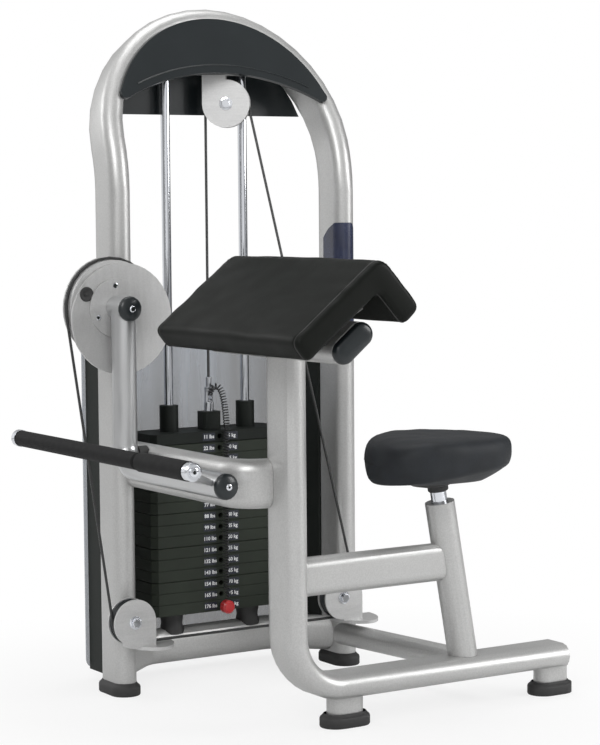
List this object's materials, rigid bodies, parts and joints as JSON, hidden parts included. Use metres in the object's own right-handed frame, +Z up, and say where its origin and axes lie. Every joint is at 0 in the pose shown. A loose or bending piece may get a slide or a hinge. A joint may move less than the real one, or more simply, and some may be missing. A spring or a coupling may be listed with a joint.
{
  "type": "biceps curl machine",
  "caption": "Seated biceps curl machine: weight tower with a bent arch, cable-driven curl arm on a cam, sloping arm pad and a seat.",
  "frame": {"origin": "middle of the footprint, on the floor", "axes": "+Z up, the user sits facing -X, the weight tower stands at +Y"},
  "size_m": [1.1498, 1.063, 1.4817],
  "materials": {
    "silver_paint": "silver metallic powder coat, satin",
    "bare_steel": "zinc plated, satin",
    "chrome": "polished plating",
    "black_paint": "black powder coat",
    "black_plastic": "black gloss",
    "rubber": "matt black",
    "vinyl": "grained black vinyl, satin",
    "red_plastic": "red gloss",
    "smoked_sheet": "smoked clear sheet"
  },
  "bodies": {
    "frame": {"tower_arch": "silver_paint", "cross_member": "silver_paint", "rod_top_beam": "silver_paint", "main_column": "silver_paint", "mid_beam": "silver_paint", "seat_tube": "silver_paint", "diagonal_brace": "silver_paint", "link_tube": "silver_paint", "pad_support": "silver_paint", "wheel_bracket_left": "bare_steel", "wheel_bracket_right": "bare_steel", "wheel_bracket_top": "bare_steel", "guide_rod_left": "chrome", "guide_rod_right": "chrome", "shroud_strip_left": "black_paint", "shroud_strip_right": "black_paint", "header_front": "black_plastic", "header_rear": "black_plastic", "pad_support_cap_near": "black_plastic", "pad_support_cap_far": "black_plastic", "buffer_left": "rubber", "buffer_right": "rubber", "tower_foot_left": "rubber", "tower_foot_right": "rubber", "column_foot": "rubber", "seat_foot": "rubber", "cable_main": "rubber", "arm_stop": "rubber", "arm_pad": "vinyl", "rear_shroud": "smoked_sheet"},
    "stack": {"weight_plates_1": "black_paint", "weight_plates_2": "black_paint", "weight_plates_3": "black_paint", "weight_plates_4": "black_paint", "weight_plates_5": "black_paint", "head_plate": "black_paint", "selector_stem": "black_paint", "cable_end": "chrome", "lanyard": "rubber", "cable_stack_run": "rubber"},
    "pin": {"selector_pin": "chrome", "selector_knob": "red_plastic"},
    "arm": {"cam_wheel": "bare_steel", "cam_face": "bare_steel", "pivot_flange": "bare_steel", "pivot_shaft": "chrome", "movement_arm": "silver_paint", "hub_cap": "black_plastic", "arm_end_cap": "black_plastic", "handle_bar": "chrome", "handle_grip": "rubber", "handle_socket": "black_plastic"},
    "left_wheel": {"wheel_left": "black_plastic"},
    "right_wheel": {"wheel_right": "black_plastic"},
    "top_wheel": {"wheel_top": "black_plastic"},
    "seat": {"seat_post": "chrome", "seat_pad": "vinyl"},
    "seat_lock": {"seat_pin": "rubber"}
  },
  "joints": [
    {"name": "stack_lift", "type": "slide", "parent": "frame", "child": "stack", "axis": [0, 0, 1], "range_m": [0, 0.235], "deforming": ["cable_stack_run"]},
    {"name": "arm_curl", "type": "hinge", "parent": "frame", "child": "arm", "pos_m": [-0.28714, 0.3635, 0.838], "axis": [0, 1, 0], "range_deg": [0, 129.6]},
    {"name": "wheel_left_turn", "type": "hinge", "parent": "frame", "child": "left_wheel", "pos_m": [-0.25914, 0.2685, 0.171], "axis": [0, 1, 0], "range_deg": [0, 300]},
    {"name": "wheel_right_turn", "type": "hinge", "parent": "frame", "child": "right_wheel", "pos_m": [0.26886, 0.2685, 0.171], "axis": [0, 1, 0], "range_deg": [0, 300]},
    {"name": "wheel_top_turn", "type": "hinge", "parent": "frame", "child": "top_wheel", "pos_m": [0.08148, 0.42971, 1.274], "axis": [0.57, 0.8216, 0], "range_deg": [0, 288]},
    {"name": "pin_pull", "type": "slide", "parent": "stack", "child": "pin", "axis": [0, -1, 0], "range_m": [0, 0.09]},
    {"name": "seat_height", "type": "slide", "parent": "frame", "child": "seat", "axis": [-0.1752, 0, 0.9845], "range_m": [0, 0.12]},
    {"name": "seat_pin_pull", "type": "slide", "parent": "frame", "child": "seat_lock", "axis": [0, 1, 0], "range_m": [0, 0.013], "stiffness_N_per_m": 400}
  ],
  "couplings": [
    {"joint": "arm_curl", "follows": "stack_lift", "rad_per_m": 9.6154},
    {"joint": "wheel_left_turn", "follows": "stack_lift", "rad_per_m": 22.222},
    {"joint": "wheel_right_turn", "follows": "stack_lift", "rad_per_m": 22.222},
    {"joint": "wheel_top_turn", "follows": "stack_lift", "rad_per_m": 21.277}
  ]
}
